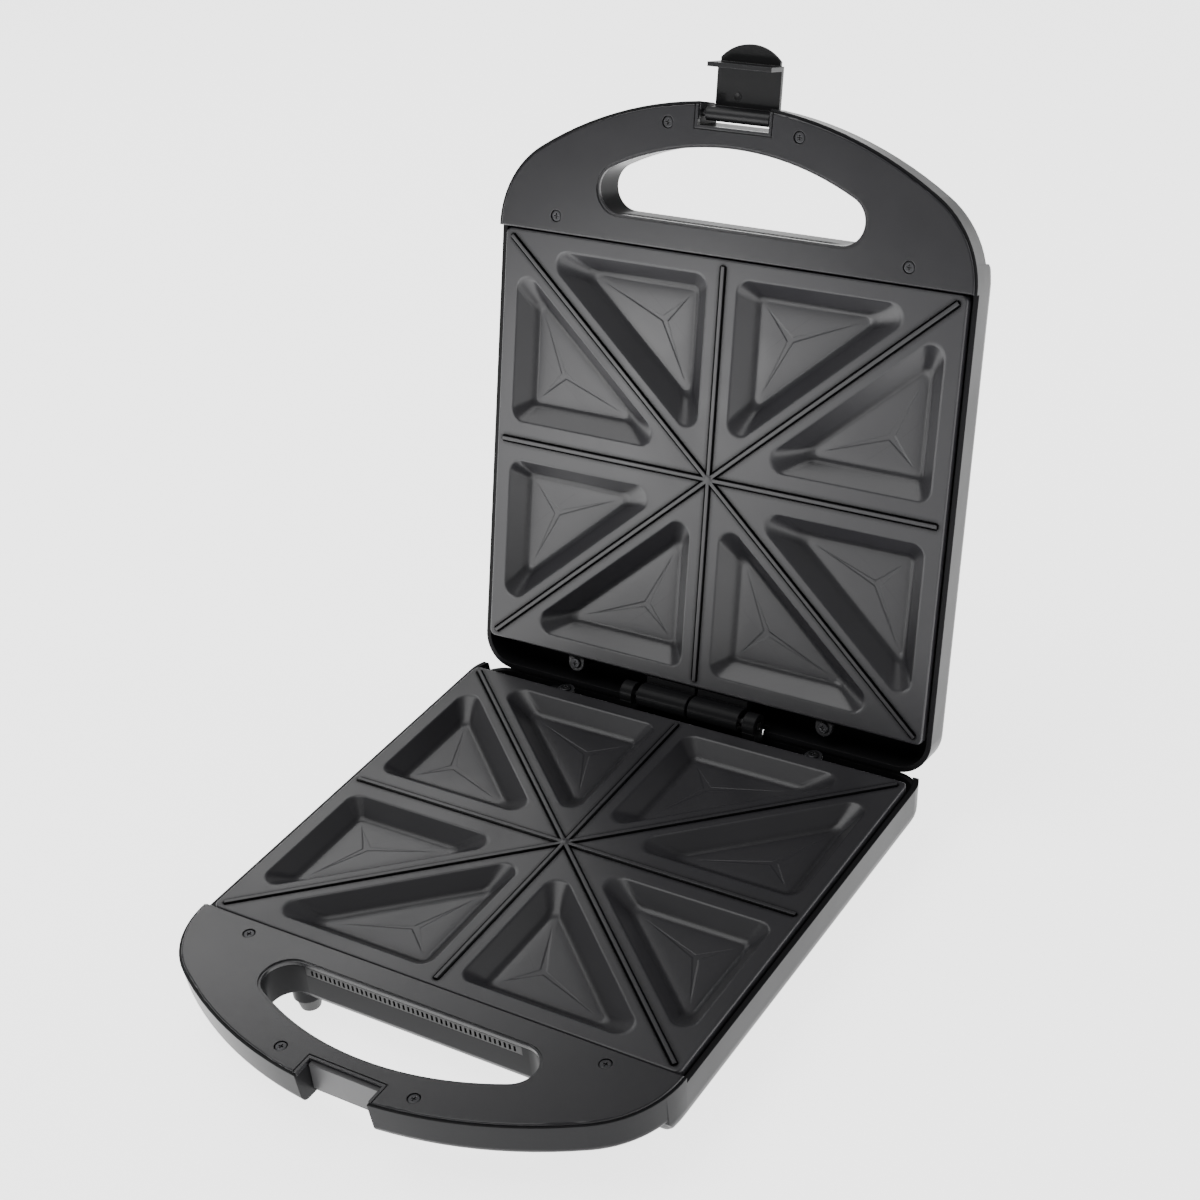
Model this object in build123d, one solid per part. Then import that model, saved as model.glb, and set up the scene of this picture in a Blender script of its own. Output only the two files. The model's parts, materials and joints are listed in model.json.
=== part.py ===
from build123d import *
import math
import os

# Sandwich toaster: a deep base and a matching lid on a rear hinge, each with a
# D-shaped front handle, a die-cast non-stick plate and a flip-over latch.
# Everything is drawn closed about the parting plane z = 0, with the plate
# centre at x = y = 0, +Y to the rear hinge. The lid is then swung open.

# Driving sizes (mm)
plate_width = 257.0
plate_depth = 221.6
plate_skin = 3.2
plate_edge_height = 5.0
plate_edge_wall = 2.4
plate_corner_radius = 3.5
land_below_parting = 1.0
pocket_depth = 8.0
pocket_edge_margin = 8.5
pocket_mid_x_margin = 8.5
pocket_mid_y_margin = 10.5
pocket_diagonal_margin = 7.0
pocket_wall_run = 8.5
pocket_corner_radius = 7.0
floor_corner_radius = 2.5
pocket_floor_radius = 5.0
pocket_lip_radius = 1.6
lip_steps = 3
floor_steps = 5
bulge_share = 0.8
pocket_crown = 0.9
crease_end_gap = 2.6
crease_depth = 0.7
crease_width = 2.2
rib_height = 0.8
rib_base_width = 3.2
rib_top_width = 1.8
rib_groove_width = 0.9
rib_groove_depth = 0.6
rib_end_gap = 3.5

casing_side_gap = 1.6
casing_wall = 2.6
casing_depth = 30.0
casing_draft = 5.0
casing_corner_radius = 18.0
casing_bottom_fillet = 12.0
side_rim_below_parting = 4.0
rear_wall_top = 9.8

handle_reach = 74.0
handle_side_radius = 50.0
handle_depth = 19.0
handle_draft = 6.0
handle_bottom_fillet = 4.5
cover_top = 0.2
cover_thickness = 2.4
cover_inset = 1.3
cover_edge_fillet = 0.8
cover_plate_gap = 0.8
skirt_top = 1.2

grip_rear_inset = 13.7
grip_reach = 52.2
grip_end_radius = 12.0
grip_front_radius = 150.0
grip_wall = 2.4
grip_lip_width = 1.2
grip_lip_depth = 0.6

notch_half_width = 19.5
notch_lip = 1.4
notch_seam_width = 0.6
notch_seam_depth = 0.8
notch_from_front = 12.2

hinge_behind_plate = 11.2
hinge_outer = 6.5
barrel_radius = 6.0
hinge_pin_radius = 2.0
hinge_pin_clearance = 0.06
barrel_slit = 1.5
barrel_end = 30.0
hood_reach = 9.6
hood_depth = 4.4
knuckle_start = 33.0
knuckle_end = 40.0
ear_slot_gap = 0.5
ear_slot_depth = 10.5
open_angle = 106.5

foot_height = 7.5
foot_top_radius = 6.6
foot_bottom_radius = 4.8
foot_spread_x = 72.0
front_foot_y = -116.0
rear_foot_y = 104.0
foot_boss_radius = 7.4
foot_stem_radius = 2.0
foot_stem_length = 5.0

screw_head_radius = 2.9
screw_head_height = 1.3
screw_shank_radius = 1.4
screw_recess_clearance = 0.2
screw_pilot_clearance = 0.05
screw_hole_clearance = 0.2
screw_recess_depth = 0.3
screw_boss_radius = 3.6
outer_screw_x = 98.0
outer_screw_ahead = 8.5
inner_screw_x = 36.0
inner_screw_ahead = 61.5
handle_screw_length = 11.0
plate_screw_length = 9.0

lug_x = 74.0
lug_radius = 4.6
lug_thickness = 2.2
lug_reach = 4.8
tongue_x = 60.0
tongue_width = 16.0
tongue_reach = 4.0

heater_radius = 3.3
heater_flat = 0.5
heater_run_x = 84.0
heater_run_y = 62.0
heater_bend = 24.0
heater_tail_x = 18.0
heater_tail_length = 20.0
heater_pin_radius = 1.6
heater_pin_length = 6.0

reflector_sheet = 0.6
reflector_half_x = 112.0
reflector_half_y = 92.0
reflector_rim = 6.0
reflector_gap = 1.2

latch_pivot_depth = 6.5
latch_pivot_from_front = 6.8
latch_barrel_radius = 3.4
latch_half_width = 17.4
latch_plate_thickness = 2.2
latch_face_offset = 6.6
latch_nose_rear_gap = 1.3
latch_nose_height = 2.2
latch_tab_length = 9.0
latch_tab_thickness = 1.8
latch_pin_radius = 1.5
latch_pin_clearance = 0.05
latch_pin_grip = 5.0
latch_boss_wall = 2.2
catch_thickness = 2.2
catch_top = 1.6
catch_bottom = 15.6
catch_half_width = 18.8

vent_left = -61.0
vent_right = 58.0
vent_height = 4.6
vent_top_below_cover = 0.4
vent_depth = 1.6
vent_pitch = 2.6
vent_slot = 1.2

lamp_spacing = 11.0
lamp_lens_radius = 4.0
lamp_lens_flange = 5.2
lamp_lens_proud = 0.8
lamp_hole_clearance = 0.1
lamp_y = -101.0
lamp_body_radius = 2.4
lamp_body_length = 12.0

gland_x = -86.0
gland_z = -20.0
gland_bore_radius = 3.6
gland_body_radius = 5.6
gland_flange_radius = 8.0
gland_flange = 2.4
gland_inner_length = 8.0
gland_pad_radius = 8.6

thermostat_radius = 8.0
thermostat_height = 5.2
fuse_radius = 2.2
fuse_length = 18.0
fuse_x = 40.0
terminal_x = -44.0
terminal_y = 103.0
terminal_size_x = 30.0
terminal_size_y = 13.0
terminal_height = 8.0

fit_gap = 0.3

# Derived planes and outlines
half_plate_x = plate_width / 2
half_plate_y = plate_depth / 2
casing_half_x = half_plate_x + casing_side_gap + casing_wall
hinge_y = half_plate_y + hinge_behind_plate
casing_rear = hinge_y + hinge_outer
handle_base_y = -half_plate_y - cover_plate_gap
handle_front = handle_base_y - handle_reach
grip_rear = handle_base_y - grip_rear_inset
grip_front = handle_base_y - grip_reach
body_front = grip_rear
cover_seat = cover_top + cover_thickness
notch_rear = handle_front + notch_from_front
floor_z = -casing_depth - foot_height
handle_root_y = handle_base_y + 40
latch_y = handle_front + latch_pivot_from_front
latch_nose_reach = latch_pivot_depth + catch_bottom + fit_gap
latch_length = latch_nose_reach + latch_nose_height
latch_nose_projection = notch_rear - latch_nose_rear_gap - latch_y + latch_face_offset
plate_under = land_below_parting + plate_skin
bulge_bottom = land_below_parting + pocket_depth + plate_skin
heater_centre = bulge_bottom + heater_radius - heater_flat
reflector_top = heater_centre + heater_radius + reflector_gap
reflector_under = reflector_top + reflector_sheet
handle_screw_seat = -cover_top - screw_recess_depth - screw_head_height
post_root = 0.8 * casing_wall - casing_depth
handle_post_root = casing_wall / 2 - handle_depth


def d_points(inset):
    """Three tangent arcs of the D handle: side radius, front radius, joints."""
    a = casing_half_x - inset
    r = handle_side_radius - inset
    b = handle_reach - inset
    big = ((a - r) ** 2 + b ** 2 - r ** 2) / (2 * (b - r))
    centre_x = a - r
    angle = math.atan2(big - b, centre_x)
    joint_angle = -angle
    jx = centre_x + r * math.cos(joint_angle)
    jy = handle_base_y + r * math.sin(joint_angle)
    mx = centre_x + r * math.cos(joint_angle / 2)
    my = handle_base_y + r * math.sin(joint_angle / 2)
    return a, jx, jy, mx, my, handle_base_y - b


def d_face(inset, rear_y):
    """D outline, closed by a straight line at rear_y."""
    a, jx, jy, mx, my, front = d_points(inset)
    edges = [
        ThreePointArc((a, handle_base_y), (mx, my), (jx, jy)),
        ThreePointArc((jx, jy), (0, front), (-jx, jy)),
        ThreePointArc((-jx, jy), (-mx, my), (-a, handle_base_y)),
        Line((-a, rear_y), (a, rear_y)),
    ]
    if rear_y > handle_base_y:
        edges.append(Line((a, rear_y), (a, handle_base_y)))
        edges.append(Line((-a, handle_base_y), (-a, rear_y)))
    return make_face(edges)


def plan_face(inset):
    """Whole casing outline: rounded rear corners and the D front."""
    rear = casing_rear - inset
    half = casing_half_x - inset
    radius = casing_corner_radius - inset
    box = Pos(0, (rear + handle_base_y) / 2) * Rectangle(2 * half, rear - handle_base_y)
    rear_corners = box.vertices().filter_by(lambda v: v.Y > 0)
    box = fillet(rear_corners, radius)
    return box + d_face(inset, handle_base_y + radius)


def body_face(inset):
    """Heated part of the outline, cut off straight at the grip's rear wall."""
    keep = Pos(0, body_front + inset + 300) * Rectangle(600, 600)
    return plan_face(inset) & keep


def drafted(face, top, bottom, draft, edge_radius, rear_limit):
    """Tapered block with its bottom edge rounded, up to rear_limit."""
    solid = extrude(Pos(0, 0, -top) * face, amount=-(bottom - top), taper=draft)
    low = solid.edges().group_by(Axis.Z)[0]
    return fillet(low.filter_by(lambda e: e.center().Y < rear_limit), edge_radius)


def body_block(inset, top):
    return drafted(body_face(inset), top, casing_depth - inset, casing_draft,
                   casing_bottom_fillet - inset, casing_rear)


def handle_block(inset, top):
    return drafted(d_face(inset, handle_root_y), top, handle_depth - inset, handle_draft,
                   handle_bottom_fillet - inset, handle_root_y - 5)


def grip_face(grow):
    """Finger opening: straight rear edge, bowed front edge, round ends."""
    rear = grip_rear + grow
    front = grip_front - grow
    big = grip_front_radius + grow
    small = grip_end_radius + grow
    centre_y = front + big
    end_y = rear - small
    end_x = math.sqrt((big - small) ** 2 - (end_y - centre_y) ** 2)
    angle = math.atan2(end_y - centre_y, end_x)
    jx = end_x + small * math.cos(angle)
    jy = end_y + small * math.sin(angle)
    side = math.pi / 4 + angle / 2
    mx = end_x + small * math.cos(side)
    my = end_y + small * math.sin(side)
    edges = [
        Line((-end_x, rear), (end_x, rear)),
        ThreePointArc((end_x, rear), (mx, my), (jx, jy)),
        ThreePointArc((jx, jy), (0, front), (-jx, jy)),
        ThreePointArc((-jx, jy), (-mx, my), (-end_x, rear)),
    ]
    return make_face(edges)


def slab(face, top, bottom):
    return extrude(Pos(0, 0, -top) * face, amount=-(bottom - top))


def box_between(x0, x1, y0, y1, z0, z1):
    centre = Pos((x0 + x1) / 2, (y0 + y1) / 2, (z0 + z1) / 2)
    return centre * Box(abs(x1 - x0), abs(y1 - y0), abs(z1 - z0))


def post(x, y, radius, low, high):
    return Pos(x, y, (low + high) / 2) * Cylinder(radius, high - low)


def rod_x(y, z, radius, x0, x1):
    return Pos((x0 + x1) / 2, y, z) * Rot(0, 90, 0) * Cylinder(radius, x1 - x0)


def notch_box(grow):
    return box_between(-notch_half_width - grow, notch_half_width + grow,
                       handle_front - 30, notch_rear + grow, -casing_depth - 1, 5)


def handle_screw_places():
    outer_y = handle_base_y - outer_screw_ahead
    inner_y = handle_base_y - inner_screw_ahead
    return [(-outer_screw_x, outer_y), (outer_screw_x, outer_y),
            (-inner_screw_x, inner_y), (inner_screw_x, inner_y)]


def lug_places():
    return [(-lug_x, half_plate_y + lug_reach), (lug_x, half_plate_y + lug_reach)]


# Casing

def casing():
    shell = body_block(0, skirt_top) + handle_block(0, skirt_top)
    shell -= box_between(-200, 200, handle_base_y, 200, 0, -side_rim_below_parting)
    shell -= body_block(casing_wall, 0)
    tray = handle_block(casing_wall, 0)
    tray &= box_between(-200, 200, handle_front - 20, body_front, 1, -casing_depth)
    shell -= tray
    ring = slab(grip_face(grip_wall), cover_seat, handle_depth - casing_wall / 2)
    ring &= box_between(-200, 200, handle_front - 20, body_front + 1, 1, -casing_depth)
    shell += ring
    wall = box_between(-notch_half_width - casing_wall, notch_half_width + casing_wall,
                       handle_front - 5, notch_rear + casing_wall, -cover_seat, -handle_depth)
    shell += wall & handle_block(0.6, skirt_top)
    shell -= slab(grip_face(0), -1, casing_depth + 1)
    shell -= notch_box(0)
    shell -= slab(d_face(cover_inset, half_plate_y), -1, cover_seat)
    return shell


def screw_bosses():
    handle = [post(x, y, screw_boss_radius, handle_post_root, -cover_seat)
              for x, y in handle_screw_places()]
    rear = [post(x, y, screw_boss_radius, post_root, -plate_under - lug_thickness)
            for x, y in lug_places()]
    return handle + rear


def pilot_holes():
    radius = screw_shank_radius + screw_pilot_clearance
    handle = [post(x, y, radius, -cover_seat - handle_screw_length, 0)
              for x, y in handle_screw_places()]
    rear = [post(x, y, radius, -plate_under - lug_thickness - plate_screw_length, 0)
            for x, y in lug_places()]
    return handle + rear


def plate_posts():
    """Posts that carry the plate near its four corners."""
    x = half_plate_x - 7.5
    y = half_plate_y - 7.5
    return [post(sx * x, sy * y, 3.2, post_root, -plate_under)
            for sx in (-1, 1) for sy in (-1, 1)]


def reflector_posts():
    x = reflector_half_x - 14
    y = reflector_half_y - 14
    return [post(sx * x, sy * y, 4.0, post_root, -reflector_under)
            for sx in (-1, 1) for sy in (-1, 1)]


def half_shell():
    """Casing half with its inner bosses; the base and the lid share it."""
    shell = casing()
    for boss in screw_bosses() + plate_posts() + reflector_posts():
        shell += boss
    for cut in pilot_holes() + vent_window():
        shell -= cut
    return shell


# Handle cover

def handle_cover():
    cover = slab(d_face(cover_inset, handle_base_y), cover_top, cover_seat)
    top_edges = cover.edges().group_by(Axis.Z)[-1]
    cover = fillet(top_edges, cover_edge_fillet)
    cover -= slab(grip_face(0), -1, cover_seat + 1)
    rebate = slab(grip_face(grip_lip_width), -1, cover_top + grip_lip_depth)
    cover -= rebate
    cover -= notch_box(0)
    seam = notch_box(notch_lip + notch_seam_width) - notch_box(notch_lip)
    cover -= seam & box_between(-200, 200, -300, 0, 1, -cover_top - notch_seam_depth)
    for x, y in handle_screw_places():
        recess = screw_head_radius + screw_recess_clearance
        cover -= post(x, y, recess, handle_screw_seat, 1)
        cover -= post(x, y, screw_shank_radius + screw_hole_clearance, -cover_seat - 1, 1)
    return cover


# Plate

def unit(dx, dy):
    length = math.hypot(dx, dy)
    return dx / length, dy / length


def meet(p, d, q, e):
    """Point where the line p + t d meets the line q + s e."""
    det = d[0] * (-e[1]) + e[0] * d[1]
    t = ((q[0] - p[0]) * (-e[1]) + e[0] * (q[1] - p[1])) / det
    return p[0] + t * d[0], p[1] + t * d[1]


def triangle(kind, shift):
    """Pocket corners in the +x +y quarter; shift moves every side outwards."""
    diagonal = unit(half_plate_x, half_plate_y)
    offset = pocket_diagonal_margin - shift
    if kind == "side":
        leg_x = half_plate_x - pocket_edge_margin + shift
        leg_y = pocket_mid_y_margin - shift
        start = (diagonal[1] * offset, -diagonal[0] * offset)
    else:
        leg_x = pocket_mid_x_margin - shift
        leg_y = half_plate_y - pocket_edge_margin + shift
        start = (-diagonal[1] * offset, diagonal[0] * offset)
    square = (leg_x, leg_y)
    along_y = meet(start, diagonal, square, (0, 1))
    along_x = meet(start, diagonal, square, (1, 0))
    return [square, along_x, along_y]


def centre_of(points):
    """Incentre of a triangle."""
    a = math.dist(points[1], points[2])
    b = math.dist(points[0], points[2])
    c = math.dist(points[0], points[1])
    total = a + b + c
    x = (a * points[0][0] + b * points[1][0] + c * points[2][0]) / total
    y = (a * points[0][1] + b * points[1][1] + c * points[2][1]) / total
    return x, y


def rounded_face(points, z, radius):
    outline = make_face(Polyline(*[(x, y, z) for x, y in points], close=True))
    return fillet(outline.vertices(), radius)


def well_profile():
    """Inset and depth down the pocket wall: rounded lip, straight wall, rounded floor edge."""
    slope = math.atan2(pocket_depth, pocket_wall_run)
    lip = pocket_lip_radius * math.tan(slope / 2)
    foot = pocket_floor_radius * math.tan(slope / 2)
    points = [(-lip, -1.0)]
    for i in range(lip_steps + 1):
        turn = slope * i / lip_steps
        points.append((-lip + pocket_lip_radius * math.sin(turn),
                       pocket_lip_radius * (1 - math.cos(turn))))
    for i in range(floor_steps + 1):
        turn = slope * (1 - i / floor_steps)
        points.append((pocket_wall_run + foot - pocket_floor_radius * math.sin(turn),
                       pocket_depth - pocket_floor_radius * (1 - math.cos(turn))))
    return points


def floor_inset():
    return well_profile()[-1][0]


def well(kind):
    """Triangular well with soft corners, as a stack of rounded outlines.

    Its floor falls to the middle in three facets that meet in a creased Y.
    """
    reach = floor_inset()
    fall = pocket_corner_radius - floor_corner_radius
    sections = []
    for inset, depth in well_profile():
        radius = pocket_corner_radius - fall * max(inset, 0) / reach
        sections.append(rounded_face(triangle(kind, -inset), -land_below_parting - depth, radius))
    inner = triangle(kind, -reach - crease_end_gap)
    x, y = centre_of(inner)
    low = -land_below_parting - pocket_depth
    sections.append(Vertex(x, y, low - pocket_crown))
    return loft(sections, ruled=True) + crease(inner, (x, y), low)


def bulge(kind):
    """Outside of the well, one skin thickness larger, under the plate."""
    spread = plate_skin * bulge_share
    low = -land_below_parting - pocket_depth - plate_skin
    upper = rounded_face(triangle(kind, spread), -plate_under + 0.8, pocket_corner_radius)
    lower = rounded_face(triangle(kind, spread - pocket_wall_run), low, floor_corner_radius)
    return loft([upper, lower], ruled=True)


def crease(corners, centre, low):
    star = []
    for i in range(3):
        tip = corners[i]
        after = corners[(i + 1) % 3]
        middle = unit((tip[0] + after[0]) / 2 - centre[0], (tip[1] + after[1]) / 2 - centre[1])
        star.append(tip)
        star.append((centre[0] + middle[0] * crease_width, centre[1] + middle[1] * crease_width))
    outline = make_face(Polyline(*[(px, py, low + 0.02) for px, py in star], close=True))
    bottom = Vertex(centre[0], centre[1], low - pocket_crown - crease_depth)
    return loft([outline, bottom], ruled=True)


def quarters(solid):
    """The same pocket in all four quarters of the plate."""
    return [solid, mirror(solid, Plane.YZ), mirror(solid, Plane.XZ), Rot(0, 0, 180) * solid]


def long_bar(profile, length, angle):
    bar = extrude(make_face(Plane.YZ * Polyline(*profile, close=True)), amount=length / 2, both=True)
    return Rot(0, 0, angle) * bar


def rib_profile():
    low = -land_below_parting - rib_groove_depth - 0.3
    half = rib_base_width / 2
    top = -land_below_parting + rib_height
    return [(-half, low), (half, low), (half, -land_below_parting - rib_groove_depth),
            (rib_top_width / 2, top), (-rib_top_width / 2, top),
            (-half, -land_below_parting - rib_groove_depth)]


def groove_profile():
    half = rib_base_width / 2
    low = -land_below_parting - rib_groove_depth
    return [(-half, low), (half, low), (half + rib_groove_width, 1), (-half - rib_groove_width, 1)]


def rib_lines():
    """Length and direction of the four ribs that cross at the plate's centre."""
    diagonal = math.degrees(math.atan2(half_plate_y, half_plate_x))
    long_rib = 2 * (math.hypot(half_plate_x, half_plate_y) - rib_end_gap * 1.6)
    return [(plate_width - 2 * rib_end_gap, 0), (plate_depth - 2 * rib_end_gap, 90),
            (long_rib, diagonal), (long_rib, -diagonal)]


def plate():
    outline = RectangleRounded(plate_width, plate_depth, plate_corner_radius)
    body = slab(outline, land_below_parting, plate_under)
    skirt = outline - RectangleRounded(plate_width - 2 * plate_edge_wall,
                                       plate_depth - 2 * plate_edge_wall, 1.2)
    body += slab(skirt, plate_under, land_below_parting + plate_edge_height)
    body = fillet(body.faces().sort_by(Axis.Z)[-1].edges(), 0.9)
    for kind in ("side", "end"):
        for solid in quarters(bulge(kind)):
            body += solid
        for solid in quarters(well(kind)):
            body -= solid
    for length, angle in rib_lines():
        body -= long_bar(groove_profile(), length, angle)
    for length, angle in rib_lines():
        body += long_bar(rib_profile(), length, angle)
    for x, y in lug_places():
        tab = post(x, y, lug_radius, -plate_under - lug_thickness, -plate_under)
        tab += box_between(x - lug_radius, x + lug_radius, half_plate_y - 1, y,
                           -plate_under - lug_thickness, -plate_under)
        body += tab
        body -= post(x, y, screw_shank_radius + screw_hole_clearance, -casing_depth, 1)
    for side in (-1, 1):
        x = side * tongue_x
        body += box_between(x - tongue_width / 2, x + tongue_width / 2, -half_plate_y + 1,
                            -half_plate_y - tongue_reach, -plate_under - lug_thickness, -plate_under)
    return body


# Heater, clamps and reflector

def heater_path():
    rear = heater_run_y
    front = -heater_run_y
    tail = rear + heater_tail_length
    points = [(-heater_tail_x, tail), (-heater_tail_x, rear), (-heater_run_x, rear),
              (-heater_run_x, front), (heater_run_x, front), (heater_run_x, rear),
              (heater_tail_x, rear), (heater_tail_x, tail)]
    bends = [8.0, heater_bend, heater_bend, heater_bend, heater_bend, 8.0]
    return FilletPolyline(*[(x, y, -heater_centre) for x, y in points], radius=bends)


def heater():
    """Tubular element, flattened where it bears on the plate, with its cold pins."""
    path = heater_path()
    section = Plane(origin=path @ 0, z_dir=path % 0) * Circle(heater_radius)
    tube = sweep(section, path=path)
    tube -= box_between(-200, 200, -200, 200, -bulge_bottom, 0)
    y = heater_run_y + heater_tail_length - 1 + heater_pin_length / 2
    for x in (-heater_tail_x, heater_tail_x):
        tube += Pos(x, y, -heater_centre) * Rot(90, 0, 0) * Cylinder(
            heater_pin_radius, heater_pin_length + 2)
    return tube


def clamp_places():
    return [(-heater_run_x, 0, 0), (heater_run_x, 0, 0), (0, -heater_run_y, 90)]


def heater_clamps():
    """Saddles that hold the heater against the plate, standing on the reflector."""
    solids = []
    for x, y, turn in clamp_places():
        block = box_between(-6, 6, -5, 5, -reflector_top, -heater_centre)
        groove = Pos(0, 0, -heater_centre) * Rot(90, 0, 0) * Cylinder(heater_radius, 12)
        solids.append(Pos(x, y, 0) * Rot(0, 0, turn) * (block - groove))
    return Compound(children=[s.solid() for s in solids])


def reflector():
    """Aluminised tray between the heater and the casing floor."""
    outline = RectangleRounded(2 * reflector_half_x, 2 * reflector_half_y, 8)
    inner = RectangleRounded(2 * reflector_half_x - 2 * reflector_sheet,
                             2 * reflector_half_y - 2 * reflector_sheet, 8 - reflector_sheet)
    tray = slab(outline, reflector_top, reflector_top + reflector_sheet)
    tray += slab(outline - inner, reflector_top - reflector_rim, reflector_top)
    return tray


# Vent strip

def vent_strip():
    top = -cover_seat - vent_top_below_cover
    strip = box_between(vent_left, vent_right, body_front, body_front + vent_depth,
                        top, top - vent_height)
    count = int((vent_right - vent_left - 4) / vent_pitch)
    first = (vent_left + vent_right) / 2 - (count - 1) * vent_pitch / 2
    for i in range(count):
        x = first + i * vent_pitch
        strip -= box_between(x - vent_slot / 2, x + vent_slot / 2, body_front - 1,
                             body_front + vent_depth + 1, top - 0.8, top - vent_height + 0.8)
    return strip


def vent_window():
    top = -cover_seat - vent_top_below_cover
    pocket_cut = box_between(vent_left, vent_right, body_front - 0.5,
                             body_front + vent_depth, top, top - vent_height)
    through = box_between(vent_left + 1.4, vent_right - 1.4, body_front,
                          body_front + casing_wall + 1, top - 0.8, top - vent_height + 0.8)
    return [pocket_cut, through]


# Fasteners

def pan_screw(x, y, head_bottom, length):
    head = post(x, y, screw_head_radius, head_bottom, head_bottom + screw_head_height)
    head = fillet(head.edges().group_by(Axis.Z)[-1], 0.6)
    shank = post(x, y, screw_shank_radius, head_bottom - length, head_bottom)
    screw = head + shank
    for turn in (0, 90):
        slot = Rot(0, 0, turn) * Box(2.8, 0.7, 2)
        screw -= Pos(x, y, head_bottom + screw_head_height + 0.1) * slot
    return screw.solid()


def handle_screws():
    return Compound(children=[pan_screw(x, y, handle_screw_seat, handle_screw_length)
                              for x, y in handle_screw_places()])


def plate_screws():
    return Compound(children=[pan_screw(x, y, -plate_under, plate_screw_length)
                              for x, y in lug_places()])


# Hinge

def base_ears():
    """Knuckles of the base, each on a web that runs down to the floor."""
    solids = []
    for side in (-1, 1):
        x0, x1 = sorted((side * knuckle_start, side * knuckle_end))
        web = box_between(x0, x1, hinge_y - barrel_radius, casing_rear - 0.4, post_root, -2)
        web -= box_between(x0 - 1, x1 + 1, hinge_y + 3, 200, 1, -rear_wall_top)
        solids.append(web + rod_x(hinge_y, 0, barrel_radius, x0, x1))
    return solids


def lid_barrels():
    """Hinge barrels of the lid drawn closed, each on a block that rises into the lid."""
    solids = []
    for side in (-1, 1):
        x0, x1 = sorted((side * barrel_slit / 2, side * barrel_end))
        block = box_between(x0, x1, hinge_y - barrel_radius, casing_rear - 0.4, 0, -post_root)
        hood = box_between(x0, x1, hinge_y - hood_reach, hinge_y, hood_depth, -post_root)
        solids.append(block + hood + rod_x(hinge_y, 0, barrel_radius, x0, x1))
    return solids


def ear_slots():
    """Slots in the lid's rear wall that straddle the base knuckles."""
    slots = []
    for side in (-1, 1):
        x0, x1 = sorted((side * (knuckle_start - ear_slot_gap), side * (knuckle_end + ear_slot_gap)))
        slots.append(box_between(x0, x1, hinge_y - 3, 200, -1, ear_slot_depth))
    return slots


def hinge_bore(clearance):
    return rod_x(hinge_y, 0, hinge_pin_radius + clearance, -100, 100)


def hinge_pin():
    return rod_x(hinge_y, 0, hinge_pin_radius, -knuckle_end, knuckle_end)


def swing_open(solid):
    """Turn a closed lid piece about the hinge axis to the open stop."""
    return solid.rotate(Axis((0, hinge_y, 0), (1, 0, 0)), -open_angle)


# Feet

def foot_places():
    return {"front_left_foot": (-foot_spread_x, front_foot_y),
            "front_right_foot": (foot_spread_x, front_foot_y),
            "rear_left_foot": (-foot_spread_x, rear_foot_y),
            "rear_right_foot": (foot_spread_x, rear_foot_y)}


def foot(x, y):
    body = Pos(x, y, -casing_depth - foot_height / 2) * Rot(180, 0, 0) * Cone(
        foot_top_radius, foot_bottom_radius, foot_height)
    low = body.edges().group_by(Axis.Z)[0]
    body = fillet(low, 0.8)
    stem = post(x, y, foot_stem_radius, -casing_depth, -casing_depth + foot_stem_length)
    return (body + stem).solid()


# Latch

def latch_barrel():
    return rod_x(latch_y, latch_pivot_depth, latch_barrel_radius, -latch_half_width,
                 latch_half_width)


def latch():
    """Latch drawn in its flipped-out position, reaching forward from the pivot."""
    face = latch_pivot_depth + latch_face_offset
    back = face + latch_plate_thickness
    tip = latch_y - latch_length
    blade = box_between(-latch_half_width, latch_half_width, tip, latch_y + 1.5, face, back)
    arm = box_between(-latch_half_width, latch_half_width, latch_y - latch_barrel_radius,
                      latch_y + 1.5, latch_pivot_depth, face + 0.5)
    nose = box_between(-latch_half_width, latch_half_width, tip, tip + latch_nose_height,
                       face - latch_nose_projection, back)
    width = latch_half_width - 1.2
    root = tip + 0.5
    shoulder = tip - 2.0
    tab_face = make_face([
        Line((-width, root), (width, root)),
        Line((width, root), (width, shoulder)),
        ThreePointArc((width, shoulder), (0, tip - latch_tab_length), (-width, shoulder)),
        Line((-width, shoulder), (-width, root)),
    ])
    tab = extrude(Pos(0, 0, back - latch_tab_thickness) * tab_face, amount=latch_tab_thickness)
    body = blade + arm + nose + tab + latch_barrel()
    body -= rod_x(latch_y, latch_pivot_depth, latch_pin_radius + latch_pin_clearance,
                  -latch_half_width - 1, latch_half_width + 1)
    return body


def latch_pin():
    reach = notch_half_width + latch_pin_grip
    return rod_x(latch_y, latch_pivot_depth, latch_pin_radius, -reach, reach)


def latch_pin_seats():
    """Bosses beside the lid notch that hold the latch pin."""
    solids = []
    for side in (-1, 1):
        x0, x1 = sorted((side * notch_half_width, side * (notch_half_width + latch_pin_grip)))
        boss = rod_x(latch_y, latch_pivot_depth, latch_pin_radius + latch_boss_wall, x0, x1)
        column = box_between(x0, x1, latch_y - 2.5, latch_y + 2.5, latch_pivot_depth,
                             handle_depth - casing_wall / 2)
        solids.append(boss + column)
    return solids


def catch():
    """Strike plate on the back wall of the base notch."""
    return box_between(-catch_half_width, catch_half_width, notch_rear - catch_thickness,
                       notch_rear, -catch_bottom, -catch_top)


# Cord inlet, terminal block, thermal parts and lamps

def rod_y(x, z, radius, y0, y1):
    return Pos(x, (y0 + y1) / 2, z) * Rot(90, 0, 0) * Cylinder(radius, y1 - y0)


def gland_pad():
    """Flat pad on the rounded rear wall that the gland seats on."""
    return rod_y(gland_x, gland_z, gland_pad_radius, casing_rear - casing_corner_radius / 2,
                 casing_rear)


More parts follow.
